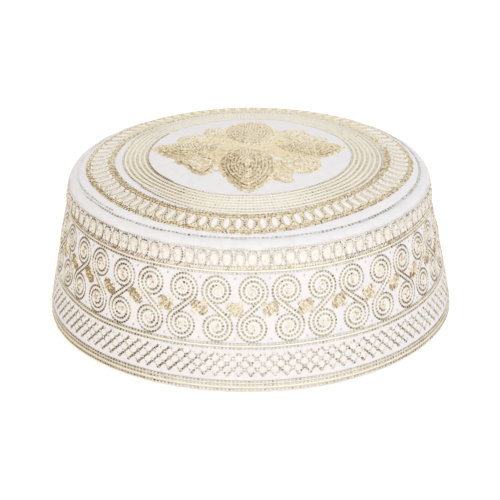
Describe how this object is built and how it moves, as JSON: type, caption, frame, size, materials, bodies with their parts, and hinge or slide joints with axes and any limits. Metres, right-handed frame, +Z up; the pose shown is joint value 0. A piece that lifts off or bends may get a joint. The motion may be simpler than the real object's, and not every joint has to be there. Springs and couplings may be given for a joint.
{
  "type": "kufi",
  "caption": "Round brimless cotton cap with a shallow domed crown, a rolled edge, a flared side band and a stitched hem, open below for the head.",
  "frame": {"origin": "centre of the ring that the cap rests on, at the foot of its hem", "axes": "+Z up along the cap's axis, -Y towards the wearer's forehead, +X to the right in the picture"},
  "size_m": [0.188, 0.188, 0.0772],
  "materials": {
    "crown_cotton": "white plain woven cotton, covered in cream and gold thread embroidery",
    "welt_cotton": "plain white woven cotton rolled over a seam",
    "band_cotton": "white plain woven cotton with cream and gold thread embroidery",
    "hem_cotton": "folded white cotton with close rows of cream thread stitching"
  },
  "bodies": {
    "root": {"crown_panel": "crown_cotton", "crown_welt": "welt_cotton", "side_band": "band_cotton", "hem_band": "hem_cotton"}
  },
  "joints": []
}
